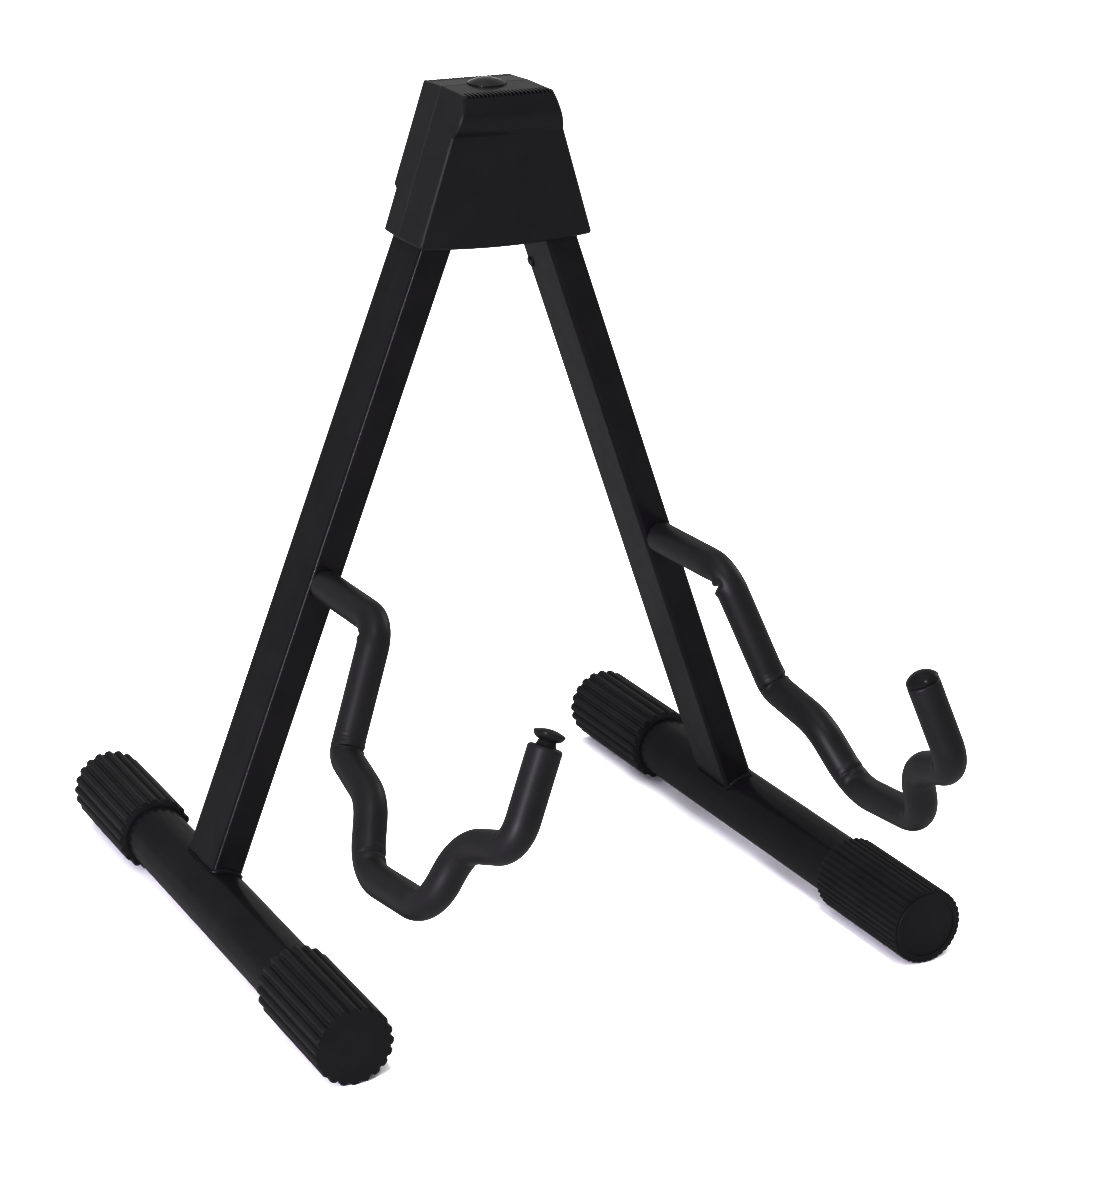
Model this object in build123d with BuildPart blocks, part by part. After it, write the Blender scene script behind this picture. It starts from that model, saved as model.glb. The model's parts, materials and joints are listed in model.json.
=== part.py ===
from build123d import *
import os
from math import cos, radians, sin

# Folding A-frame guitar stand: a moulded head with a release button, two steel legs that fold inward,
# round feet with ribbed rubber caps, and a foam-covered bent arm on the front of each leg.
#
# X runs across the stand, -Y is its front and +Z is up. Pieces are made about the upright plane of the
# legs, and the right side's (+X) are mirrored for the left. Each is then moved back by leg_place, so that
# the origin is on the floor at the middle of the stand's box.

leg_place = 51.3          # from the middle of the stand's depth back to the plane of the legs

# Feet
foot_radius = 12.5
tube_wall = 1.2
cap_radius = 15.45
cap_length = 59.6
cap_end_wall = 2.5
coarse_ribs = (20, 1.7)   # ribs round a cap, and each rib's radius
fine_ribs = (36, 0.9)
foot_height = cap_radius
foot_reach = 120.3        # from the middle of the stand to each foot's axis, at the leg
foot_splay = 0.9          # degrees that each foot's front turns outward
foot_front = 152.6        # from the leg to the front cap's end
foot_rear = 117.0         # from the leg to the rear cap's end
weld_size = 1.2

# Legs
leg_lean = 20.1           # degrees from upright
leg_width = 13.0
leg_depth = 27.0
leg_corner = 1.8
leg_to_pivot = 299.75     # along the leg, from the foot's axis
leg_over_pivot = 7.0
insert_length = 58.0
rivet_along = 258.0
rivet_behind = 10.3
rivet_shank = 1.6
rivet_head = 2.2
rivet_proud = 0.7
rivet_reach = 5.0

# Pivots
pin_radius = 3.0
running_gap = 0.05
bush_radius = 4.0
washer_radius = 6.0
washer_thickness = 0.4
washer_gap = 0.03

# Arms: the route lies in a plane that leans from upright about the leg's front face, and toes outward.
# Each point is (distance down that plane, distance forward), and each bend has a radius.
arm_along = 134.0
arm_lean = {"right": 19.4, "left": 24.0}
arm_toe = 1.0
arm_first_bend = (-1.5, 52.1)
arm_route = [(48.2, 66.9), (53.8, 97.8), (77.1, 115.1), (71.8, 165.1), (43.9, 170.3), (32.7, 201.8)]
arm_end = (-3.3, 195.0)
arm_bends = [13.4, 7.0, 21.0, 22.0, 18.0, 20.0, 12.2]
arm_radius = 4.0
arm_bore = 2.8
arm_tail = leg_depth - 0.8    # how far the tube reaches behind the leg's front face
foam_radius = 6.3
foam_gap = 0.25
plug_stem = 9.0

# Head
parting = 1.0             # depth of the plane where the two shells meet
head_bottom = 272.5
head_top = 330.5
head_bottom_half = 37.1
head_top_half = 18.9
head_sag = 1.9            # how far the bottom edge curves down in its middle
front_bevel = 0.6         # on the upright edges of the front face
edge_round = 0.9          # on the upright edges of the rear face
head_front = -19.5
head_rear = 18.2
head_lower_rear = 15.2
head_step = 290.0         # height of the step in the rear face
front_draft = 0.4         # degrees that each shell narrows away from the parting plane
rear_draft = 2.5
head_crease = 314.5       # height where the front face turns into the rolled top
roll_bulge = 2.8
shell_wall = 2.0
lower_wall = 1.5          # rear wall below the step
seam_width = 0.3          # groove in the front shell, beside a bevel on the rear shell
seam_depth = 0.35
notch_pitch = 1.67
notches = 21
side_slope = (head_bottom_half - head_top_half) / (head_top - head_bottom)
pin_front = head_front + 1.2
pin_rear = head_rear - 1.3

# Button and lock
button_radius = 7.5
button_hole = 7.8
button_dome_top = 333.0
button_rim = 330.9
flange_radius = 9.0
flange_top = 328.0
flange_thickness = 2.2
stem_radius = 3.0
plate_bottom = 312.0
plate_thickness = 1.5
yoke_bottom = 307.3
yoke_thickness = 1.5
rail_depth = 2.5          # ribs in the shells that hold the guide plate
rail_height = 2.0
rail_half_length = 11.0
prop_half_width = 5.0
prop_tip = 302.1
spring_radius = 5.4
spring_wire = 0.8
spring_turns = 5

# Screws: (distance from the middle, height, seat depth)
shell_screw_places = [(6.0, 279.0, 12.9), (13.0, 321.0, 15.0)]
screw_radius = 1.5
screw_head_radius = 2.75
screw_head_height = 2.2
screw_tip = -12.0
boss_radius = 3.8

up_leg = Vector(-sin(radians(leg_lean)), 0, cos(radians(leg_lean)))
out_of_leg = Vector(cos(radians(leg_lean)), 0, sin(radians(leg_lean)))
foot_point = Vector(foot_reach, 0, foot_height)
forward = Vector(sin(radians(foot_splay)), -cos(radians(foot_splay)), 0)
sideways = Vector(cos(radians(foot_splay)), sin(radians(foot_splay)), 0)
pivot = foot_point + up_leg * leg_to_pivot


def leg_section(along):
    """Plane square to the right leg, `along` from the foot's axis. Local x points outward."""
    return Plane(origin=foot_point + up_leg * along, x_dir=out_of_leg, z_dir=up_leg)


def foot_section(ahead, facing=1):
    """Plane square to the right foot, `ahead` of the leg. It faces forward, or rearward for -1."""
    return Plane(origin=foot_point + forward * ahead, x_dir=sideways * facing, z_dir=forward * facing)


def depth_section(depth):
    """Upright plane across the stand that faces rearward. Local x points to the left, local y up."""
    return Plane(origin=(0, depth, 0), x_dir=(-1, 0, 0), z_dir=(0, 1, 0))


def arm_plane(lean):
    """Plane of an arm's route. Local x runs down the leaning plane, and local y forward."""
    down = Vector(sin(radians(lean)), 0, -cos(radians(lean)))
    outward = Vector(cos(radians(lean)), 0, sin(radians(lean)))
    ahead = Vector(0, -1, 0) * cos(radians(arm_toe)) + outward * sin(radians(arm_toe))
    root = foot_point + up_leg * arm_along + Vector(0, -leg_depth / 2, 0)
    return Plane(origin=root, x_dir=down, z_dir=down.cross(ahead))


def arm_start(ahead):
    """Point of the arm's first straight, `ahead` of the leg's front face."""
    return (arm_first_bend[0] * ahead / arm_first_bend[1], ahead)


def dome_height(radius, rise, out):
    """Height of a spherical dome above its rim, `out` from its middle."""
    sphere = (radius**2 + rise**2) / (2 * rise)
    return rise - sphere + (sphere**2 - out**2) ** 0.5


def save(name, piece):
    with BuildPart() as placed:
        with Locations((0, leg_place, 0)):
            add(piece)
    placed.part.label = name
    export_step(placed.part, f"parts/{name}.step")


def save_side(name, piece, side):
    """Writes a piece that was made for the right, mirrored if it belongs on the left."""
    with BuildPart() as handed:
        if side == "left":
            mirror(piece, about=Plane.YZ)
        else:
            add(piece)
    save(name, handed.part)


# ---------------------------------------------------------------------------------------------- feet

def make_foot_tube():
    with BuildPart() as tube:
        with BuildSketch(foot_section(cap_end_wall - foot_rear)):
            Circle(foot_radius)
            Circle(foot_radius - tube_wall, mode=Mode.SUBTRACT)
        extrude(amount=foot_front + foot_rear - 2 * cap_end_wall)
    return tube.part


def make_foot_cap(end, facing, ribs, rib_radius, rimmed):
    """Rubber cap whose closed end is `end` from the leg, with round ribs along its sleeve."""
    lip_radius = 13.1
    lip_length = 1.0
    rib_slant = 0.8           # the ribs start this much further along at their crests
    end_round = 0.5
    rim_radius = 14.2
    rim_width = 2.2
    rim_length = 0.7
    rim_recess = 0.4
    core_radius = cap_radius - 0.75 * rib_radius
    rib_end = end - rim_length if rimmed else end
    open_end = end - cap_length
    profile_plane = Plane(
        origin=foot_point, x_dir=(0, 0, 1), z_dir=Vector(0, 0, 1).cross(forward * facing)
    )
    with BuildPart() as cap:
        with BuildSketch(foot_section(facing * open_end, facing)):
            Circle(core_radius)
            with PolarLocations(cap_radius - rib_radius, ribs, start_angle=-90):
                Circle(rib_radius)
        extrude(amount=rib_end - open_end)
        with BuildSketch(profile_plane):
            with BuildLine():
                Polyline(
                    (0, open_end),
                    (lip_radius, open_end),
                    (lip_radius, open_end + lip_length),
                    (cap_radius + 0.1, open_end + lip_length + rib_slant),
                    (cap_radius + 0.1, rib_end - end_round),
                    (cap_radius - end_round, rib_end),
                    (0, rib_end),
                    close=True,
                )
            make_face()
        revolve(axis=Axis(foot_point, forward), mode=Mode.INTERSECT)
        if rimmed:
            with BuildSketch(foot_section(facing * rib_end, facing)):
                Circle(rim_radius)
            extrude(amount=rim_length)
            fillet(cap.edges().sort_by(Axis(foot_point, forward * facing))[-1], 0.5)
            with BuildSketch(foot_section(facing * end, facing)):
                Circle(rim_radius - rim_width)
            extrude(amount=-rim_recess, mode=Mode.SUBTRACT)
        with BuildSketch(foot_section(facing * open_end, facing)):
            Circle(foot_radius)
        extrude(amount=cap_length - cap_end_wall, mode=Mode.SUBTRACT)
    return cap.part


def make_foot_weld():
    with BuildPart() as weld:
        with BuildSketch(leg_section(0)):
            RectangleRounded(
                leg_width + 2 * weld_size, leg_depth + 2 * weld_size, leg_corner + weld_size
            )
            RectangleRounded(leg_width, leg_depth, leg_corner, mode=Mode.SUBTRACT)
        extrude(amount=2 * foot_radius)
        with BuildSketch(foot_section(-leg_depth)):
            Circle(foot_radius + weld_size)
            Circle(foot_radius, mode=Mode.SUBTRACT)
        extrude(amount=2 * leg_depth, mode=Mode.INTERSECT)
    return weld.part


# ---------------------------------------------------------------------------------------------- legs

def make_leg_tube(lean):
    """Rectangular tube, coped on to the foot, with holes for the pivot bush and for the arm."""
    plane = arm_plane(lean)
    tail = plane.from_local_coords(Vector(*arm_start(-arm_tail - 2)))
    bend = plane.from_local_coords(Vector(*arm_first_bend))
    with BuildPart() as leg:
        with BuildSketch(leg_section(0)):
            RectangleRounded(leg_width, leg_depth, leg_corner)
            RectangleRounded(
                leg_width - 2 * tube_wall,
                leg_depth - 2 * tube_wall,
                leg_corner - tube_wall,
                mode=Mode.SUBTRACT,
            )
        extrude(amount=leg_to_pivot + leg_over_pivot)
        with BuildSketch(foot_section(-leg_depth)):
            Circle(foot_radius)
        extrude(amount=2 * leg_depth, mode=Mode.SUBTRACT)
        with BuildSketch(depth_section(-leg_depth)):
            with Locations((-pivot.X, pivot.Z)):
                Circle(bush_radius)
        extrude(amount=2 * leg_depth, mode=Mode.SUBTRACT)
        with BuildSketch(Plane(origin=tail, z_dir=bend - tail)):
            Circle(arm_radius)
        extrude(amount=arm_tail + 8, mode=Mode.SUBTRACT)
        with BuildSketch(rivet_plane(0)):
            Circle(rivet_shank)
        extrude(amount=-leg_width / 2, mode=Mode.SUBTRACT)
    return leg.part


def rivet_plane(above):
    """Plane `above` the leg's inner face at the rivet, facing away from the leg."""
    face = foot_point + up_leg * rivet_along - out_of_leg * (leg_width / 2 + above)
    return Plane(origin=face + Vector(0, rivet_behind, 0), x_dir=up_leg, z_dir=out_of_leg * -1)


def make_leg_insert():
    with BuildPart() as insert:
        with BuildSketch(leg_section(leg_to_pivot + leg_over_pivot)):
            RectangleRounded(
                leg_width - 2 * tube_wall, leg_depth - 2 * tube_wall, leg_corner - tube_wall
            )
        extrude(amount=-insert_length)
        with BuildSketch(depth_section(-leg_depth)):
            with Locations((-pivot.X, pivot.Z)):
                Circle(bush_radius)
        extrude(amount=2 * leg_depth, mode=Mode.SUBTRACT)
        with BuildSketch(rivet_plane(0)):
            Circle(rivet_shank)
        extrude(amount=-rivet_reach, mode=Mode.SUBTRACT)
    return insert.part


def make_insert_rivet():
    with BuildPart() as rivet:
        with BuildSketch(rivet_plane(0)):
            Circle(rivet_head)
        extrude(amount=rivet_proud)
        fillet(rivet.edges().sort_by(Axis((0, 0, 0), out_of_leg * -1))[-1], 0.6)
        with BuildSketch(rivet_plane(0)):
            Circle(rivet_shank)
        extrude(amount=-rivet_reach)
    return rivet.part


def make_pivot_bush():
    with BuildPart() as bush:
        with BuildSketch(depth_section(-leg_depth / 2)):
            with Locations((-pivot.X, pivot.Z)):
                Circle(bush_radius)
                Circle(pin_radius + running_gap, mode=Mode.SUBTRACT)
        extrude(amount=leg_depth)
    return bush.part


# ---------------------------------------------------------------------------------------------- arms

def sweep_arm(lean, ahead, outer, inner):
    """Round tube along the arm's route, from `ahead` of the leg's front face to the arm's end."""
    with BuildPart() as arm:
        with BuildLine(arm_plane(lean)) as route:
            FilletPolyline(
                arm_start(ahead), arm_first_bend, *arm_route, arm_end, radius=arm_bends
            )
        start = route.wire() @ 0
        with BuildSketch(Plane(origin=start, z_dir=route.wire() % 0)):
            Circle(outer)
            Circle(inner, mode=Mode.SUBTRACT)
        sweep(path=route.wire())
    return arm.part


def make_arm_weld(lean):
    """Plug weld that fills the hole in the leg's rear wall behind the arm's end."""
    plane = arm_plane(lean)
    tail = plane.from_local_coords(Vector(*arm_start(-arm_tail)))
    bend = plane.from_local_coords(Vector(*arm_first_bend))
    at_face = plane.from_local_coords(Vector(*arm_start(-leg_depth)))
    with BuildPart() as weld:
        with BuildSketch(depth_section(leg_depth / 2)):
            with Locations((-at_face.X, at_face.Z)):
                Circle(arm_radius + 0.8)
        extrude(amount=0.4, taper=40)
        with BuildSketch(Plane(origin=tail, z_dir=tail - bend)):
            Circle(arm_radius)
        extrude(amount=leg_depth - arm_tail + 0.2)
    return weld.part


def plug_plane(lean):
    """Plane through the middle of an arm's end, whose local y points out of the arm."""
    plane = arm_plane(lean)
    end = plane.from_local_coords(Vector(*arm_end))
    before = plane.from_local_coords(Vector(*arm_route[-1]))
    axis = (end - before).normalized()
    return Plane(origin=end, x_dir=plane.z_dir, z_dir=plane.z_dir.cross(axis))


def make_pushed_plug(lean):
    """Rubber plug that is pushed home, so that its dome covers the end of the foam."""
    lift = 0.2
    rim = 1.0
    flange = 6.2
    dome = 3.1
    plane = plug_plane(lean)
    with BuildPart() as plug:
        with BuildSketch(plane):
            with BuildLine():
                Polyline(
                    (0, lift + rim + dome),
                    (0, -plug_stem),
                    (arm_bore, -plug_stem),
                    (arm_bore, lift),
                    (flange, lift),
                    (flange, lift + rim),
                )
                ThreePointArc(
                    (flange, lift + rim),
                    (flange / 2, lift + rim + dome_height(flange, dome, flange / 2)),
                    (0, lift + rim + dome),
                )
            make_face()
        revolve(axis=Axis(plane.origin, plane.y_dir))
    return plug.part


def make_drawn_plug(lean):
    """Rubber plug that stands out of the arm's end on its waisted neck, under a thin round umbrella."""
    shoulder = 3.7
    neck = 3.1
    neck_height = 2.0
    umbrella = 5.7
    umbrella_height = 4.4
    edge = 0.35
    dome = 1.3
    flare = umbrella - neck - 0.6
    plane = plug_plane(lean)
    with BuildPart() as plug:
        with BuildSketch(plane):
            with BuildLine():
                Polyline(
                    (0, umbrella_height + edge + dome),
                    (0, -plug_stem),
                    (arm_bore, -plug_stem),
                    (arm_bore, 0),
                    (shoulder, 0),
                    (neck, neck_height),
                )
                RadiusArc((neck, neck_height), (umbrella, umbrella_height), -1.5 * flare)
                Line((umbrella, umbrella_height), (umbrella, umbrella_height + edge))
                ThreePointArc(
                    (umbrella, umbrella_height + edge),
                    (umbrella / 2, umbrella_height + edge + dome_height(umbrella, dome, umbrella / 2)),
                    (0, umbrella_height + edge + dome),
                )
            make_face()
        revolve(axis=Axis(plane.origin, plane.y_dir))
    return plug.part


# ---------------------------------------------------------------------------------------------- head

def head_outline(inset, bottom, mode=Mode.ADD):
    """Outline of the head at the parting plane, `inset` within its sides and top."""
    top = head_top - inset
    inset_across = inset / cos(radians(17.4))
    top_half = head_top_half + side_slope * inset - inset_across
    bottom_half = head_top_half + side_slope * (head_top - bottom) - inset_across
    Polygon(
        (-bottom_half, bottom), (bottom_half, bottom), (top_half, top), (-top_half, top),
        align=None, mode=mode,
    )


def make_shell_blank(facing):
    """One hollow half of the head, open at the parting plane and below. facing is -1 for the front."""
    plane = Plane(origin=(0, parting, 0), x_dir=(-facing, 0, 0), z_dir=(0, facing, 0))
    outer_face = head_front if facing < 0 else head_lower_rear
    with BuildPart() as shell:
        with BuildSketch(plane) as outline:
            head_outline(0, head_bottom)
            with BuildLine():
                ThreePointArc(
                    (-head_bottom_half, head_bottom),
                    (0, head_bottom - head_sag),
                    (head_bottom_half, head_bottom),
                )
                Line((-head_bottom_half, head_bottom), (head_bottom_half, head_bottom))
            make_face()
            fillet(outline.vertices(), 1.2)
        extrude(amount=24, taper=front_draft if facing < 0 else rear_draft)
        with BuildSketch(Plane.YZ):
            if facing < 0:
                with BuildLine():
                    Polyline(
                        (head_front, head_top - 0.5), (parting, head_top + 5), (parting, 250),
                        (head_front, 250), (head_front, head_crease),
                    )
                    ThreePointArc(
                        (head_front, head_crease),
                        (head_front - roll_bulge, (head_crease + head_top) / 2),
                        (head_front, head_top - 0.5),
                    )
                make_face()
            else:
                Polygon(
                    (parting, 250), (head_lower_rear, 250), (head_lower_rear, head_step - 0.6),
                    (head_rear, head_step + 0.6), (head_rear, head_top + 5), (parting, head_top + 5),
                    align=None,
                )
        extrude(amount=60, both=True, mode=Mode.INTERSECT)
        corners = shell.edges().filter_by(
            lambda edge: edge.length > 10
            and abs(edge.center().X) > head_top_half - 2
            and (edge.center().Y - outer_face) * facing > -1
        )
        if facing < 0:
            chamfer(corners, front_bevel)
        else:
            fillet(corners, edge_round)
        # where the shells meet, the front one has a groove and the rear one a bevel
        with BuildSketch(plane):
            head_outline(-1, head_bottom - 5)
            head_outline(seam_depth, head_bottom - 5, Mode.SUBTRACT)
        if facing < 0:
            extrude(amount=seam_width, mode=Mode.SUBTRACT)
        else:
            extrude(amount=seam_depth, taper=45, mode=Mode.SUBTRACT)
    return shell.part


def make_front_shell():
    cavity_depth = parting - head_front - shell_wall
    with BuildPart() as shell:
        add(make_shell_blank(-1))
        with BuildSketch(Plane(origin=(0, parting, 0), x_dir=(1, 0, 0), z_dir=(0, -1, 0))):
            head_outline(shell_wall, head_bottom - 10)
        extrude(amount=cavity_depth, taper=front_draft, mode=Mode.SUBTRACT)
        # bosses that hold the pivot pins and stand off the washers
        with BuildSketch(depth_section(head_front + shell_wall)):
            with Locations((pivot.X, pivot.Z), (-pivot.X, pivot.Z)):
                Circle(washer_radius)
        extrude(amount=boss_standoff(-(head_front + shell_wall)))
        # bosses for the screws
        with BuildSketch(depth_section(head_front + shell_wall)):
            with Locations(*screw_points()):
                Circle(boss_radius)
        extrude(amount=cavity_depth)
        # rails above and below the guide plate
        with BuildSketch(depth_section(head_front + shell_wall)):
            plate_rails()
        extrude(amount=rail_depth)
        with BuildSketch(depth_section(pin_front)):
            with Locations((pivot.X, pivot.Z), (-pivot.X, pivot.Z)):
                Circle(pin_radius)
        extrude(amount=10, mode=Mode.SUBTRACT)
        with BuildSketch(depth_section(screw_tip - 0.5)):
            with Locations(*screw_points()):
                Circle(screw_radius)
        extrude(amount=parting - screw_tip + 1, mode=Mode.SUBTRACT)
        add(make_button_opening(), mode=Mode.SUBTRACT)
        add(make_grip_notches(head_front), mode=Mode.SUBTRACT)
    return shell.part


def make_rear_shell():
    upper_depth = head_rear - shell_wall
    lower_depth = head_lower_rear - lower_wall
    inner_step = head_step + 0.2
    with BuildPart() as shell:
        add(make_shell_blank(1))
        with BuildSketch(depth_section(parting)):
            head_outline(shell_wall, head_bottom - 10)
        extrude(amount=lower_depth - parting, taper=rear_draft, mode=Mode.SUBTRACT)
        with BuildSketch(depth_section(parting)):
            head_outline(shell_wall, inner_step)
        extrude(amount=upper_depth - parting, taper=rear_draft, mode=Mode.SUBTRACT)
        with BuildSketch(depth_section(upper_depth)):
            with Locations((pivot.X, pivot.Z), (-pivot.X, pivot.Z)):
                Circle(washer_radius)
        extrude(amount=-boss_standoff(upper_depth))
        with BuildSketch(depth_section(parting)):
            with Locations(*screw_points()):
                Circle(boss_radius)
        extrude(amount=lower_depth - parting)
        with BuildSketch(depth_section(parting)):
            with Locations(*screw_points()[2:]):
                Circle(boss_radius)
        extrude(amount=upper_depth - parting)
        with BuildSketch(depth_section(upper_depth)):
            plate_rails()
        extrude(amount=-rail_depth)
        with BuildSketch(depth_section(pin_rear)):
            with Locations((pivot.X, pivot.Z), (-pivot.X, pivot.Z)):
                Circle(pin_radius)
        extrude(amount=-10, mode=Mode.SUBTRACT)
        with BuildSketch(depth_section(parting)):
            with Locations(*screw_points()):
                Circle(screw_radius)
        extrude(amount=20, mode=Mode.SUBTRACT)
        for across, height, seat in shell_screw_places:
            with BuildSketch(depth_section(seat)):
                with Locations((across, height), (-across, height)):
                    Circle(screw_head_radius)
            extrude(amount=20, mode=Mode.SUBTRACT)
        add(make_button_opening(), mode=Mode.SUBTRACT)
        add(make_grip_notches(head_rear), mode=Mode.SUBTRACT)
    return shell.part


def boss_standoff(wall):
    """How far a pivot boss stands off a wall that is `wall` from the leg axes' plane."""
    return wall - leg_depth / 2 - washer_thickness - 2 * washer_gap


def screw_points():
    """Screw places in a depth section, lower pair first."""
    return [
        (side * across, height) for across, height, seat in shell_screw_places for side in (1, -1)
    ]


def plate_rails():
    for middle in (plate_bottom - rail_height / 2, plate_bottom + plate_thickness + rail_height / 2):
        with Locations((0, middle)):
            Rectangle(2 * rail_half_length, rail_height)


def make_button_opening():
    with BuildPart() as opening:
        with BuildSketch(Plane.XY.offset(flange_top)):
            Circle(button_hole)
        extrude(amount=10)
    return opening.part


def make_grip_notches(face):
    """Row of small bars that cut notches along the top edge of a face, for the thumb."""
    notch_depth = 1.2
    half_length = 5.0
    with BuildPart() as bars:
        with BuildSketch(depth_section(face - half_length)):
            with Locations((0, head_top)):
                with GridLocations(notch_pitch, 1, notches, 1):
                    Rectangle(notch_pitch * 0.5, 2 * notch_depth)
        extrude(amount=2 * half_length)
    return bars.part


def make_guide_plate():
    depth = head_rear - shell_wall - (head_front + shell_wall)
    middle = (head_rear + head_front) / 2
    with BuildPart() as plate:
        with BuildSketch(Plane.XY.offset(plate_bottom)):
            with Locations((0, middle)):
                RectangleRounded(2 * rail_half_length + 4, depth, 1.5)
            Circle(stem_radius + 0.1, mode=Mode.SUBTRACT)
        extrude(amount=plate_thickness)
    return plate.part


def make_lock_spring():
    """Prop of spring strip: a flange under the guide plate and an arm that ends over the leg's top."""
    strip = 0.8
    flange_end = 11.0
    bend_at = 4.2
    arm_slope = 0.5
    tip_inner = bend_at + arm_slope * (plate_bottom - prop_tip)
    strip_across = strip / cos(radians(26.6))
    tip_outer = tip_inner + strip_across
    under_flange = plate_bottom - strip
    with BuildPart() as prop:
        with BuildSketch(Plane.XZ.offset(-prop_half_width)):
            Polygon(
                (flange_end, plate_bottom),
                (bend_at, plate_bottom),
                (tip_inner, prop_tip),
                (tip_outer, prop_tip),
                (tip_outer - arm_slope * (under_flange - prop_tip), under_flange),
                (flange_end, under_flange),
                align=None,
            )
        extrude(amount=2 * prop_half_width)
    return prop.part


def make_pivot_pin():
    with BuildPart() as pin:
        with BuildSketch(depth_section(pin_front)):
            with Locations((-pivot.X, pivot.Z)):
                Circle(pin_radius)
        extrude(amount=pin_rear - pin_front)
        chamfer(pin.edges().group_by(Axis.Y)[0], 0.4)
        chamfer(pin.edges().group_by(Axis.Y)[-1], 0.4)
    return pin.part


def make_pivot_washers():
    beside_leg = leg_depth / 2 + washer_gap
    with BuildPart() as washers:
        for depth in (-beside_leg - washer_thickness, beside_leg):
            with BuildSketch(depth_section(depth)):
                with Locations((pivot.X, pivot.Z), (-pivot.X, pivot.Z)):
                    Circle(washer_radius)
                    Circle(pin_radius, mode=Mode.SUBTRACT)
            extrude(amount=washer_thickness)
    return washers.part


def make_shell_screws():
    with BuildPart() as screws:
        with BuildSketch(depth_section(screw_tip)):
            with Locations(*screw_points()):
                Circle(screw_radius)
        extrude(amount=shell_screw_places[0][2] - screw_tip)
        with BuildSketch(depth_section(screw_tip)):
            with Locations(*screw_points()[2:]):
                Circle(screw_radius)
        extrude(amount=shell_screw_places[1][2] - screw_tip)
        for across, height, seat in shell_screw_places:
            with BuildSketch(depth_section(seat)):
                with Locations((across, height), (-across, height)):
                    Circle(screw_head_radius)
            extrude(amount=screw_head_height)
            with BuildSketch(depth_section(seat + screw_head_height)):
                with Locations((across, height), (-across, height)):
                    Rectangle(3.4, 0.9)
                    Rectangle(0.9, 3.4)
            extrude(amount=-1.4, mode=Mode.SUBTRACT)
    return screws.part


# -------------------------------------------------------------------------------------------- button

def make_release_button():
    stem_bottom = yoke_bottom + yoke_thickness
    flange_bottom = flange_top - flange_thickness
    dome = button_dome_top - button_rim
    with BuildPart() as button:
        with BuildSketch(Plane.XZ):
            with BuildLine():
                Polyline(
                    (0, button_dome_top),
                    (0, stem_bottom),
                    (stem_radius, stem_bottom),
                    (stem_radius, flange_bottom),
                    (flange_radius, flange_bottom),
                    (flange_radius, flange_top),
                    (button_radius, flange_top),
                    (button_radius, button_rim),
                )
                ThreePointArc(
                    (button_radius, button_rim),
                    (button_radius / 2, button_rim + dome_height(button_radius, dome, button_radius / 2)),
                    (0, button_dome_top),
                )
            make_face()
        revolve(axis=Axis.Z)
        with BuildSketch(Plane.XY.offset(stem_bottom)):
            Circle(screw_radius)
        extrude(amount=10, mode=Mode.SUBTRACT)
    return button.part


def make_release_yoke():
    slot_middle = 6.62
    slot_width = 2.25
    with BuildPart() as yoke:
        with BuildSketch(Plane.XY.offset(yoke_bottom)):
            RectangleRounded(19, 14.6, 1.5)
            Circle(screw_radius, mode=Mode.SUBTRACT)
            with Locations((slot_middle, 0), (-slot_middle, 0)):
                Rectangle(slot_width, 2 * prop_half_width + 0.8, mode=Mode.SUBTRACT)
        extrude(amount=yoke_thickness)
    return yoke.part


def make_yoke_screw():
    with BuildPart() as screw:
        with BuildSketch(Plane.XY.offset(yoke_bottom)):
            Circle(screw_radius)
        extrude(amount=10)
        with BuildSketch(Plane.XY.offset(yoke_bottom - 2.0)):
            Circle(screw_head_radius)
        extrude(amount=2.0)
        with BuildSketch(Plane.XY.offset(yoke_bottom - 2.0)):
            Rectangle(3.4, 0.9)
            Rectangle(0.9, 3.4)
        extrude(amount=1.2, mode=Mode.SUBTRACT)
    return screw.part


def make_button_spring():
    bottom = plate_bottom + plate_thickness + spring_wire / 2 + 0.03
    height = flange_top - flange_thickness - spring_wire / 2 - 0.03 - bottom
    with BuildPart() as spring:
        with BuildLine(Plane.XY.offset(bottom)) as coil:
            Helix(pitch=height / spring_turns, height=height, radius=spring_radius)
        with BuildSketch(Plane(origin=coil.wire() @ 0, z_dir=coil.wire() % 0)):
            Circle(spring_wire / 2)
        sweep(path=coil.wire(), is_frenet=True)
    return spring.part


# ------------------------------------------------------------------------------------------- writing

os.makedirs("parts", exist_ok=True)

save("head_front_shell", make_front_shell())
save("head_rear_shell", make_rear_shell())
save("guide_plate", make_guide_plate())
save("pivot_washers", make_pivot_washers())
save("shell_screws", make_shell_screws())
save("release_button", make_release_button())
save("release_yoke", make_release_yoke())
save("yoke_screw", make_yoke_screw())
save("button_spring", make_button_spring())

front_ribs = {"right": fine_ribs, "left": coarse_ribs}

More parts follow.
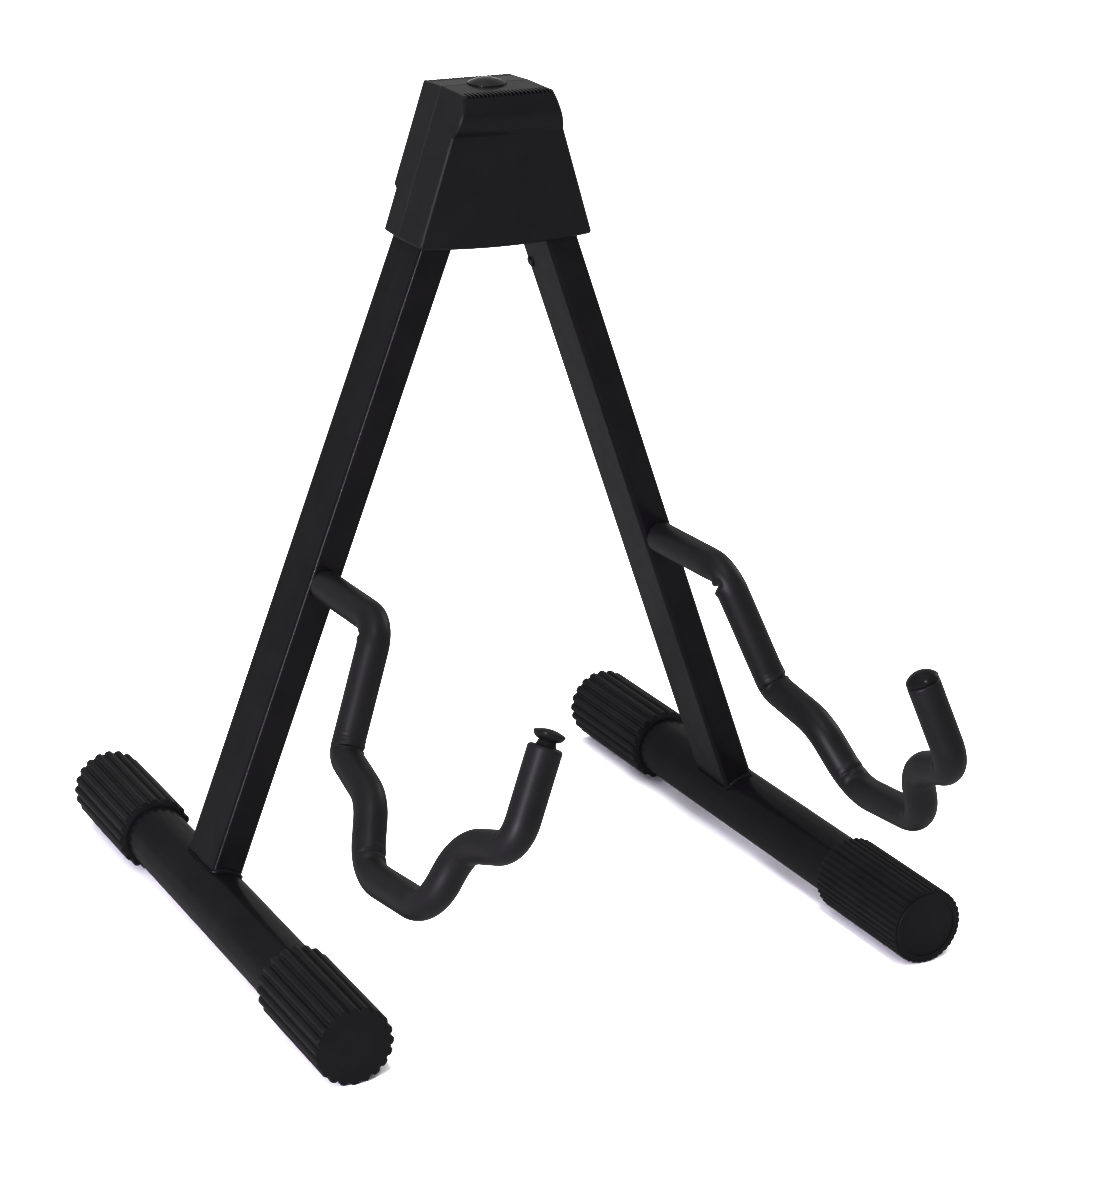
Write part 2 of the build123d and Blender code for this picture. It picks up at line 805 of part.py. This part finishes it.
for side in ("right", "left"):
    lean = arm_lean[side]
    save_side(f"lock_spring_{side}", make_lock_spring(), side)
    save_side(f"pivot_pin_{side}", make_pivot_pin(), side)
    save_side(f"pivot_bush_{side}", make_pivot_bush(), side)
    save_side(f"leg_tube_{side}", make_leg_tube(lean), side)
    save_side(f"leg_insert_{side}", make_leg_insert(), side)
    save_side(f"insert_rivet_{side}", make_insert_rivet(), side)
    save_side(f"foot_tube_{side}", make_foot_tube(), side)
    save_side(f"leg_weld_{side}", make_foot_weld(), side)
    front_cap = make_foot_cap(foot_front, 1, *front_ribs[side], rimmed=side == "right")
    save_side(f"foot_cap_front_{side}", front_cap, side)
    rear_cap = make_foot_cap(foot_rear, -1, *coarse_ribs, rimmed=False)
    save_side(f"foot_cap_rear_{side}", rear_cap, side)
    save_side(f"arm_tube_{side}", sweep_arm(lean, -arm_tail, arm_radius, arm_bore), side)
    save_side(f"arm_foam_{side}", sweep_arm(lean, foam_gap, foam_radius, arm_radius + 0.05), side)
    save_side(f"arm_weld_{side}", make_arm_weld(lean), side)
    plug = make_drawn_plug(lean) if side == "left" else make_pushed_plug(lean)
    save_side(f"arm_plug_{side}", plug, side)
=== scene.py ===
import json
import math

import bmesh
import bpy
from mathutils import Matrix, Vector, noise


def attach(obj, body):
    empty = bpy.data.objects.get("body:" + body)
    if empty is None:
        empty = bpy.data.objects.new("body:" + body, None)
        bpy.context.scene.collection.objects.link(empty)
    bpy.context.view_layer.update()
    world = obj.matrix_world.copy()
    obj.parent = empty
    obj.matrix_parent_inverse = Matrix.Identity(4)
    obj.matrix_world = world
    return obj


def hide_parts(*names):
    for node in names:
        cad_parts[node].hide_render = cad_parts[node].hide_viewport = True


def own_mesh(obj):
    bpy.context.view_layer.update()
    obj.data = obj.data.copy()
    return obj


# Folding A-frame guitar stand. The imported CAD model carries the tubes, caps, plugs, head and mechanism.
# This script gives every surface its material, and replaces the foam sleeves, the weld beads and the
# button's coil spring with detailed meshes. Everything is in metres in the frame of the CAD model,
# apart from sizes that say millimetres.

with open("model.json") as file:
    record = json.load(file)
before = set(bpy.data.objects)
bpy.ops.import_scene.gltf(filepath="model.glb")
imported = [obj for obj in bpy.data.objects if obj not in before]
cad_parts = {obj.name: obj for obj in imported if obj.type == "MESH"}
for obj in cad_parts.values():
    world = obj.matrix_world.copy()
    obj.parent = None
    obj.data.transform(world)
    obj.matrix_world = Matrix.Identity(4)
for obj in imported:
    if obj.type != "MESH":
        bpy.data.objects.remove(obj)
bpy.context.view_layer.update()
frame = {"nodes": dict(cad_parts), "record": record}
joints = {joint["name"]: joint for joint in frame["record"]["behaviour"]["joints"]}

MM = 0.001
SIDES = {"left": -1, "right": 1}

# ------------------------------------------------------------------------------------- stand sizes

PIVOT = Vector(joints["right_fold"]["pos_m"])
LEG_LEAN = math.radians(20.1)
LEG_TO_PIVOT = 299.75 * MM
LEG_WIDTH = 13 * MM
LEG_DEPTH = 27 * MM
LEG_CORNER = 1.8 * MM
FOOT_RADIUS = 12.5 * MM
FOOT_SPLAY = math.radians(0.9)

# Each arm starts on the leg's front face, this far up the leg from the foot point. Its route and bend
# radii are in millimetres: down the arm's leaning plane, and forward of the leg's front face.
ARM_ALONG = 134 * MM
ARM_LEAN = {"right": math.radians(19.4), "left": math.radians(24.0)}
ARM_TOE = math.radians(1.0)
ARM_ROUTE = [
    (0.0, 0.25), (-1.5, 52.1), (48.2, 66.9), (53.8, 97.8), (77.1, 115.1),
    (71.8, 165.1), (43.9, 170.3), (32.7, 201.8), (-3.3, 195.0),
]
ARM_BENDS = [13.4, 7.0, 21.0, 22.0, 18.0, 20.0, 12.2]
ARM_RADIUS = 4.0
FOAM_RADIUS = 6.3
FOAM_EDGE = 1.1        # rounding of the sleeve's ends, in mm

# Folds on the inner side of the bends: bend, distance past its middle, depth and half width in mm, and
# how far the inner side pulls straight.
FOAM_FOLDS = [
    (0, 3.0, 2.1, 1.0, 1.0), (1, -1.5, 1.6, 0.8, 1.0), (3, -4.0, 0.6, 0.7, 0.7),
    (4, 0.0, 0.3, 0.9, 0.8), (5, 0.0, 0.1, 1.0, 0.5), (6, -1.0, 0.5, 0.9, 0.9),
]
# The right sleeve's first fold is turned about the tube, towards the middle of the stand.
FIRST_FOLD_TWIST = {"left": 0.0, "right": math.radians(50)}


def leg_axes(side):
    """Foot point, direction up the leg and direction out of the leg, for a side."""
    sign = SIDES[side]
    up = Vector((-sign * math.sin(LEG_LEAN), 0, math.cos(LEG_LEAN)))
    out = Vector((sign * math.cos(LEG_LEAN), 0, math.sin(LEG_LEAN)))
    pivot = Vector((sign * PIVOT.x, PIVOT.y, PIVOT.z))
    return pivot - up * LEG_TO_PIVOT, up, out


# ----------------------------------------------------------------------------------------- materials

class Nodes:
    """Small helper that adds and links shader nodes in one material."""

    def __init__(self, name):
        self.material = bpy.data.materials.new(name)
        self.material.use_nodes = True
        self.tree = self.material.node_tree
        self.shader = self.tree.nodes["Principled BSDF"]
        coordinates = self.tree.nodes.new("ShaderNodeTexCoord")
        self.place = coordinates.outputs["Object"]

    def link(self, source, target):
        self.tree.links.new(source, target)

    def noise(self, scale, detail, roughness=0.55):
        """Noise with this many cells in a metre."""
        texture = self.tree.nodes.new("ShaderNodeTexNoise")
        texture.inputs["Scale"].default_value = scale
        texture.inputs["Detail"].default_value = detail
        texture.inputs["Roughness"].default_value = roughness
        self.link(self.place, texture.inputs["Vector"])
        return texture.outputs["Fac"]

    def spread(self, value, low, high):
        """The value, from 0.3 to 0.7, spread between low and high."""
        node = self.tree.nodes.new("ShaderNodeMapRange")
        node.inputs["From Min"].default_value = 0.3
        node.inputs["From Max"].default_value = 0.7
        node.inputs["To Min"].default_value = low
        node.inputs["To Max"].default_value = high
        self.link(value, node.inputs["Value"])
        return node.outputs["Result"]

    def colours(self, value, first, second):
        """Base colour that runs from the first colour to the second with the value."""
        ramp = self.tree.nodes.new("ShaderNodeValToRGB")
        ramp.color_ramp.elements[0].position = 0.35
        ramp.color_ramp.elements[0].color = (*first, 1)
        ramp.color_ramp.elements[1].position = 0.65
        ramp.color_ramp.elements[1].color = (*second, 1)
        self.link(value, ramp.inputs["Fac"])
        self.link(ramp.outputs["Color"], self.shader.inputs["Base Color"])

    def bump(self, value, distance, under=None):
        """Bump of this height in metres, on top of the bump under it."""
        node = self.tree.nodes.new("ShaderNodeBump")
        node.inputs["Distance"].default_value = distance
        node.inputs["Strength"].default_value = 1.0
        self.link(value, node.inputs["Height"])
        if under is not None:
            self.link(under, node.inputs["Normal"])
        self.link(node.outputs["Normal"], self.shader.inputs["Normal"])
        return node.outputs["Normal"]


def finish(
    name, dark, light, rough, specular, grain, grain_depth,
    metal=0.0, wave_depth=0.0, gloss=0.0, gloss_rough=0.24,
):
    """A finish with mottled colour, uneven roughness, a fine grain and a faint long wave."""
    mottle_scale = 60
    roughness_scale = 140
    wave_scale = 90
    nodes = Nodes(name)
    nodes.shader.inputs["Metallic"].default_value = metal
    nodes.shader.inputs["Specular IOR Level"].default_value = specular
    nodes.shader.inputs["Coat Weight"].default_value = gloss
    nodes.shader.inputs["Coat Roughness"].default_value = gloss_rough
    nodes.colours(nodes.noise(mottle_scale, 5), dark, light)
    patches = nodes.noise(roughness_scale, 6, 0.6)
    nodes.link(nodes.spread(patches, *rough), nodes.shader.inputs["Roughness"])
    under = nodes.bump(nodes.noise(grain, 3, 0.6), grain_depth)
    if wave_depth:
        nodes.bump(nodes.noise(wave_scale, 2, 0.4), wave_depth, under=under)
    return nodes.material


# name, dark and light colour, roughness from and to, specular level, scale and depth of the grain
MATERIALS = {
    "head_plastic": finish(
        "head_plastic", (.0078, .0071, .0088), (.0098, .0089, .0110), (.50, .56), .06, 2600, .00003,
        gloss=.26, gloss_rough=.13,
    ),
    "button_plastic": finish(
        "button_plastic", (.0090, .0085, .0098), (.0120, .0115, .0130), (.34, .40), .18, 1800, .00002,
        gloss=.30,
    ),
    "insert_plastic": finish(
        "insert_plastic", (.012, .012, .012), (.018, .018, .018), (.45, .6), .3, 1500, .00004
    ),
    "nylon": finish("nylon", (.60, .58, .52), (.70, .68, .62), (.4, .5), .4, 900, .00002),
    "leg_paint": finish(
        "leg_paint", (.0066, .0058, .0075), (.0090, .0080, .0100), (.48, .56), .04, 1500, .00006,
        wave_depth=.00001, gloss=.17, gloss_rough=.16,
    ),
    "plated_steel": finish(
        "plated_steel", (.42, .42, .43), (.55, .55, .56), (.3, .45), .5, 1200, .00002, metal=1.0
    ),
    "spring_steel": finish(
        "spring_steel", (.20, .20, .21), (.30, .30, .31), (.28, .4), .5, 1200, .00001, metal=1.0
    ),
    "cap_rubber": finish(
        "cap_rubber", (.0080, .0074, .0087), (.0112, .0104, .0121), (.55, .64), .06, 1400, .00005,
        gloss=.20, gloss_rough=.16,
    ),
    "arm_foam": finish(
        "arm_foam", (.0086, .0076, .0094), (.0112, .0100, .0121), (.52, .60), .06, 1700, .00006,
        wave_depth=.00003, gloss=.40, gloss_rough=.43,
    ),
    "plug_rubber": finish(
        "plug_rubber", (.0070, .0065, .0076), (.0095, .0088, .0102), (.42, .50), .06, 1300, .00003,
        gloss=.22, gloss_rough=.18,
    ),
}


def dress(piece, slot):
    """Give a piece the material of a slot."""
    piece.data.materials.clear()
    piece.data.materials.append(MATERIALS[slot])


for subpart in frame["record"]["subparts"]:
    for slot in frame["nodes"][subpart["node"]].material_slots:
        slot.material = MATERIALS[subpart["material_slot"]]


# ------------------------------------------------------------------------------------- foam sleeves

def rounded_route(points, bends, step):
    """Stations along a plane polyline whose corners are arcs, and where each bend's middle lies.

    A station is a point, the direction there and the distance along. A bend is the distance along to
    its middle, half its angle, its radius and the side of the route that its centre is on.
    """
    corners = [Vector(point) for point in points]
    stations = []
    turns = []
    along = 0.0
    start = corners[0]
    for index, radius in enumerate(bends, 1):
        corner = corners[index]
        before = (corner - corners[index - 1]).normalized()
        after = (corners[index + 1] - corner).normalized()
        turn = before.angle_signed(after)
        cut = radius * math.tan(abs(turn) / 2)
        arc_start = corner - before * cut
        along = add_straight(stations, start, arc_start, step, along)
        side = -1 if turn > 0 else 1
        across = Vector((-before.y, before.x)) * side
        centre = arc_start + across * radius
        length = radius * abs(turn)
        count = max(2, round(length / step))
        for part in range(count):
            swing = Matrix.Rotation(-turn * part / count, 2)
            point = centre - swing @ (across * radius)
            stations.append((point, swing @ before, along + length * part / count))
        turns.append((along + length / 2, abs(turn) / 2, radius, side))
        along += length
        start = corner + after * cut
    along = add_straight(stations, start, corners[-1], step, along)
    stations.append((corners[-1], (corners[-1] - corners[-2]).normalized(), along))
    return stations, turns


def add_straight(stations, start, end, step, along):
    """Add stations from start up to end, and return the distance along at the end."""
    length = (end - start).length
    count = max(1, round(length / step))
    direction = (end - start).normalized()
    for part in range(count):
        reach = length * part / count
        stations.append((start + direction * reach, direction, along + reach))
    return along + length


def arm_frame(side):
    """Origin of the arm's route and its two directions: down the leaning plane, and forward."""
    foot, up, out = leg_axes(side)
    lean = ARM_LEAN[side]
    down = Vector((SIDES[side] * math.sin(lean), 0, -math.cos(lean)))
    outward = Vector((SIDES[side] * math.cos(lean), 0, math.sin(lean)))
    ahead = Vector((0, -1, 0)) * math.cos(ARM_TOE) + outward * math.sin(ARM_TOE)
    origin = foot + up * ARM_ALONG + Vector((0, -LEG_DEPTH / 2, 0))
    return origin, down, ahead


def skin(name, rings, slot, body, node, looped=False):
    """A closed mesh through rings of points, which stands for a CAD node and rides on its body.

    If it is looped, the last ring joins the first. Otherwise the first and last rings are filled in.
    """
    mesh = bmesh.new()
    loops = [[mesh.verts.new(point) for point in ring] for ring in rings]
    around = len(loops[0])
    pairs = list(zip(loops, loops[1:]))
    if looped:
        pairs.append((loops[-1], loops[0]))
    for first, second in pairs:
        for index in range(around):
            other = (index + 1) % around
            mesh.faces.new((first[index], first[other], second[other], second[index])).smooth = True
    if not looped:
        mesh.faces.new(loops[0][::-1])
        mesh.faces.new(loops[-1])
    bmesh.ops.recalc_face_normals(mesh, faces=mesh.faces)
    data = bpy.data.meshes.new(name)
    mesh.to_mesh(data)
    mesh.free()
    piece = bpy.data.objects.new(name, data)
    bpy.context.collection.objects.link(piece)
    dress(piece, slot)
    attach(piece, body)
    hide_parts(node)
    return piece


def bell(distance, width):
    """1 at no distance, falling smoothly to almost nothing at twice the width."""
    return math.exp(-((distance / width) ** 2))


def foam_radius(along, length, angle, turns, seed, twist):
    """Radius of the sleeve in mm: soft edges at its ends, buckled on the inner side of each bend.

    Lengths are in mm. The angle is measured round the tube, and the twist turns the first fold.
    """
    unevenness = 0.05
    uneven_length = 14
    fold_reach = 16
    wander_size = 0.5
    wander_scale = 1.3
    swelling = 0.32          # share of a fold's depth by which the foam swells on both sides of it
    swelling_at = 2.4
    swelling_width = 1.5
    radius = FOAM_RADIUS + unevenness * noise.noise(
        Vector((along / uneven_length, seed, math.cos(angle)))
    )
    to_end = min(along, length - along)
    if to_end < FOAM_EDGE:
        radius -= FOAM_EDGE * (1 - math.sqrt(1 - (1 - to_end / FOAM_EDGE) ** 2))
    for bend, shift, depth, width, pull in FOAM_FOLDS:
        middle, half, bend_radius, side = turns[bend]
        turned = side * twist if bend == 0 else 0.0
        inner = side * math.cos(angle - turned)
        from_middle = along - middle
        if inner <= 0 or abs(from_middle) > fold_reach:
            continue
        swing = min(half, abs(from_middle) / bend_radius)
        cleft = (bend_radius - FOAM_RADIUS) * (1 / math.cos(half - swing) - 1)
        wander = wander_size * noise.noise(Vector((angle * wander_scale, seed, bend)))
        from_fold = from_middle - shift - wander
        radius -= pull * cleft * inner ** 1.5
        radius -= depth * bell(from_fold, width) * inner ** 0.6
        radius += swelling * depth * bell(abs(from_fold) - swelling_at, swelling_width) * inner
    return radius + foam_ripple(along, angle, turns[1], seed)


def foam_ripple(along, angle, turn, seed):
    """Fine wrinkles in mm, in front of a bend and on its inner side."""
    before_bend = 5.0
    spread = 3.2
    wrinkle_length = 1.6
    height = 0.12
    past_side = 0.3          # how far the wrinkles go past the sides of the tube
    wobble = 2.0
    wobble_length = 3
    middle, half, bend_radius, side = turn
    before = along - middle + before_bend
    facing = max(0.0, past_side + side * math.cos(angle))
    uneven = wobble * noise.noise(Vector((angle, seed, before / wobble_length)))
    ripple = math.sin(math.tau * before / wrinkle_length + uneven)
    return height * ripple * bell(before, spread) * min(1.0, facing)


def make_foam(side):
    """Foam sleeve from the leg to the arm's end, open round the tube at that end."""
    origin, down, ahead = arm_frame(side)
    sideways = down.cross(ahead)
    step = 0.55
    around = 72
    seed = 3.0 if side == "left" else 8.0
    # rings that turn in over the end: share of the foam's flat end, and depth in mm
    end_rings = ((0.8, 0.0), (0.55, 0.15), (0.3, 0.3), (0.12, 0.8), (0.12, 4.0))
    stations, turns = rounded_route(ARM_ROUTE, ARM_BENDS, step)
    length = stations[-1][2]
    rings = []
    for (down_at, ahead_at), (down_go, ahead_go), along in stations:
        middle = origin + (down * down_at + ahead * ahead_at) * MM
        across = down * -ahead_go + ahead * down_go
        ring = []
        for index in range(around):
            angle = math.tau * index / around
            direction = across * math.cos(angle) + sideways * math.sin(angle)
            radius = foam_radius(along, length, angle, turns, seed, FIRST_FOLD_TWIST[side])
            ring.append(middle + direction * radius * MM)
        rings.append(ring)
    end_ring = rings[-1]
    (down_at, ahead_at), (down_go, ahead_go), along = stations[-1]
    outward = (down * down_go + ahead * ahead_go).normalized()
    middle = origin + (down * down_at + ahead * ahead_at) * MM
    flat_radius = FOAM_RADIUS - FOAM_EDGE
    for share, depth in end_rings:
        hole = ARM_RADIUS + share * (FOAM_RADIUS - ARM_RADIUS - FOAM_EDGE)
        shrink = hole / flat_radius
        inset = outward * depth * MM
        rings.append([middle + (point - middle) * shrink - inset for point in end_ring])
    foam = skin(f"foam_sleeve_{side}", rings, "arm_foam", f"{side}_leg", f"arm_foam_{side}")


# ------------------------------------------------------------------------------------- weld beads

def leg_outline(count):
    """Points and outward directions round the leg's rounded rectangle, as (out, back) pairs."""
    across = LEG_WIDTH / 2 - LEG_CORNER
    deep = LEG_DEPTH / 2 - LEG_CORNER
    quarter = math.pi / 2 * LEG_CORNER
    sides = [(2 * deep, 0), (quarter, 1), (2 * across, 0), (quarter, 1)] * 2
    corners = [(across, deep), (-across, deep), (-across, -deep), (across, -deep)]
    total = sum(length for length, kind in sides)
    outline = []
    for index in range(count):
        reach = total * index / count
        number = 0
        while reach > sides[number][0]:
            reach -= sides[number][0]
            number += 1
        corner = Vector(corners[number // 2])
        start = math.pi / 2 * (number // 2)
        if number % 2:
            facing = start + reach / LEG_CORNER
            normal = Vector((math.cos(facing), math.sin(facing)))
            outline.append((corner + normal * LEG_CORNER, normal))
        else:
            normal = Vector((math.cos(start), math.sin(start)))
            along = Vector((-normal.y, normal.x))
            begin = corner + normal * LEG_CORNER - along * sides[number][0]
            outline.append((begin + along * reach, normal))
    return outline


def make_weld_bead(side):
    """Lumpy bead of weld along the line where the leg meets its foot tube."""
    foot, up, out = leg_axes(side)
    back = Vector((0, 1, 0))
    ahead = Vector((SIDES[side] * math.sin(FOOT_SPLAY), -math.cos(FOOT_SPLAY), 0))
    climb = up - ahead * up.dot(ahead)
    around = 14
    outline_points = 260
    bead = 0.6               # radius in mm, with what the front adds, the lumps and the ripples
    front_extra = 0.6
    lump_height = 0.3
    ripple_height = 0.1
    ripple_turn = 1.45
    lump_scale = 420
    small_lump_scale = 1100
    small_lump_share = 0.6
    wobble_scale = 150
    rings = []
    for index, (place, normal) in enumerate(leg_outline(outline_points)):
        flat = out * place.x + back * place.y
        level = flat - ahead * flat.dot(ahead)
        # how far up the leg this point of its outline meets the foot tube
        a, b, c = climb.dot(climb), level.dot(climb), level.dot(level) - FOOT_RADIUS**2
        rise = (-b + math.sqrt(b * b - a * c)) / a
        middle = foot + flat + up * rise
        from_leg = (out * normal.x + back * normal.y).normalized()
        centre_line = foot + ahead * (middle - foot).dot(ahead)
        from_foot = (middle - centre_line).normalized()
        small_lump = noise.noise(middle * small_lump_scale)
        lump = noise.noise(middle * lump_scale) + small_lump_share * small_lump
        ripple = math.sin(index * ripple_turn + 2 * noise.noise(middle * wobble_scale))
        front = front_extra * max(0.0, -normal.y)
        size = (bead + front + lump_height * lump + ripple_height * ripple) * MM
        ring = []
        for turn in range(around):
            angle = math.tau * turn / around
            ring.append(middle + (from_leg * math.cos(angle) + from_foot * math.sin(angle)) * size)
        rings.append(ring)
    skin(f"weld_bead_{side}", rings, "leg_paint", f"{side}_leg", f"leg_weld_{side}", looped=True)


# ------------------------------------------------------------------------------------- button spring

def make_coil():
    """The button's coil spring, a fixed mesh that rides on the button."""
    wire_radius = 0.4 * MM
    coil_radius = 5.4 * MM
    # heights of the wire's centre, between the guide plate and the button's flange
    bottom = 313.93 * MM
    top = 325.37 * MM
    turns = 5
    per_turn = 48
    around = 10
    climb = (top - bottom) / (turns * math.tau)
    rings = []
    for index in range(turns * per_turn + 1):
        angle = math.tau * index / per_turn
        out = Vector((math.cos(angle), math.sin(angle), 0))
        middle = Vector((0, PIVOT.y, bottom + climb * angle)) + out * coil_radius
        along = Vector((-out.y * coil_radius, out.x * coil_radius, climb)).normalized()
        across = along.cross(out)
        ring = []
        for turn in range(around):
            swing = math.tau * turn / around
            ring.append(middle + (out * math.cos(swing) + across * math.sin(swing)) * wire_radius)
        rings.append(ring)
    coil = skin("coil_spring", rings, "spring_steel", "button", "button_spring")
    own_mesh(coil)


for side in SIDES:
    make_foam(side)
    make_weld_bead(side)
make_coil()


# ------------------------------------------------------------------------------ floor, light, camera

def make_floor():
    """Plain pale paper under the stand."""
    mesh = bpy.data.meshes.new("floor")
    reach = 12.0
    corners = [(-reach, -reach, 0), (reach, -reach, 0), (reach, reach, 0), (-reach, reach, 0)]
    mesh.from_pydata(corners, [], [(0, 1, 2, 3)])
    floor = bpy.data.objects.new("floor", mesh)
    bpy.context.collection.objects.link(floor)
    nodes = Nodes("floor_paper")
    nodes.shader.inputs["Specular IOR Level"].default_value = 0.0
    nodes.shader.inputs["Roughness"].default_value = 0.9
    nodes.colours(nodes.noise(4, 3), (.72, .72, .725), (.73, .73, .735))
    floor.data.materials.append(nodes.material)


def soft_light(name, place, aim, width, height, power, colour=(1, 1, 1)):
    """Rectangular area light that points at the aim."""
    light = bpy.data.lights.new(name, "AREA")
    light.shape = "RECTANGLE"
    light.size = width
    light.size_y = height
    light.energy = power
    light.color = colour
    lamp = bpy.data.objects.new(name, light)
    lamp.location = place
    lamp.rotation_euler = (Vector(aim) - Vector(place)).to_track_quat("-Z", "Y").to_euler()
    bpy.context.collection.objects.link(lamp)


def make_world(strength):
    """Even white light from all round."""
    world = bpy.data.worlds.new("studio")
    world.use_nodes = True
    background = world.node_tree.nodes["Background"]
    background.inputs["Color"].default_value = (1, 1, 1, 1)
    background.inputs["Strength"].default_value = strength
    bpy.context.scene.world = world


def make_camera():
    """The photograph's camera: in front and to the left, above the head, and slightly rolled."""
    place = Vector((-0.5828, PIVOT.y - 1.1972, 0.5939))
    heading = math.radians(27.267)
    pitch = math.radians(19.572)
    roll = math.radians(1.115)
    forward = Vector(
        (math.sin(heading) * math.cos(pitch), math.cos(heading) * math.cos(pitch), -math.sin(pitch))
    )
    level = Vector((math.cos(heading), -math.sin(heading), 0))
    upright = level.cross(forward)
    right = level * math.cos(roll) + upright * math.sin(roll)
    up = upright * math.cos(roll) - level * math.sin(roll)
    camera = bpy.data.cameras.new("camera")
    camera.sensor_fit = "VERTICAL"
    camera.sensor_height = 36
    camera.lens = 104.96
    camera.clip_start = 0.01
    body = bpy.data.objects.new("camera", camera)
    body.matrix_world = Matrix(
        (
            (right.x, up.x, -forward.x, place.x),
            (right.y, up.y, -forward.y, place.y),
            (right.z, up.z, -forward.z, place.z),
            (0, 0, 0, 1),
        )
    )
    bpy.context.collection.objects.link(body)
    bpy.context.scene.camera = body


def whiten_paper():
    """A tone curve like a product photograph's: dark tones stay, and pale ones rise to white."""
    settings = bpy.context.scene.view_settings
    settings.view_transform = "Standard"
    settings.use_curve_mapping = True
    combined = 3
    curve = settings.curve_mapping.curves[combined]
    for dim, shown in ((0.10, 0.10), (0.15, 0.42), (0.21, 1.0)):
        curve.points.new(dim, shown)
    for point in curve.points:
        point.handle_type = "VECTOR"
    settings.curve_mapping.update()


make_floor()
make_world(0.34)
# name, place, point it faces, width, height, watts and colour
soft_light("overhead", (-0.2, 0.3, 2.4), (0, 0, 0.1), 2.0, 2.0, 5)
soft_light("left_strip", (-1.65, -1.07, 0.50), (0, 0, 0.16), 0.14, 0.9, 28, (.95, .92, 1))
soft_light("front_box", (-0.45, -0.75, 2.05), (0, 0, 0.16), 0.22, 0.22, 5)
soft_light("back_glow", (0.75, 2.00, 0.75), (0, 0, 0.33), 1.0, 0.8, 0.5)
soft_light("right_fill", (1.75, 0.55, 0.85), (0, 0, 0.16), 0.3, 0.9, 4.5)
make_camera()
whiten_paper()
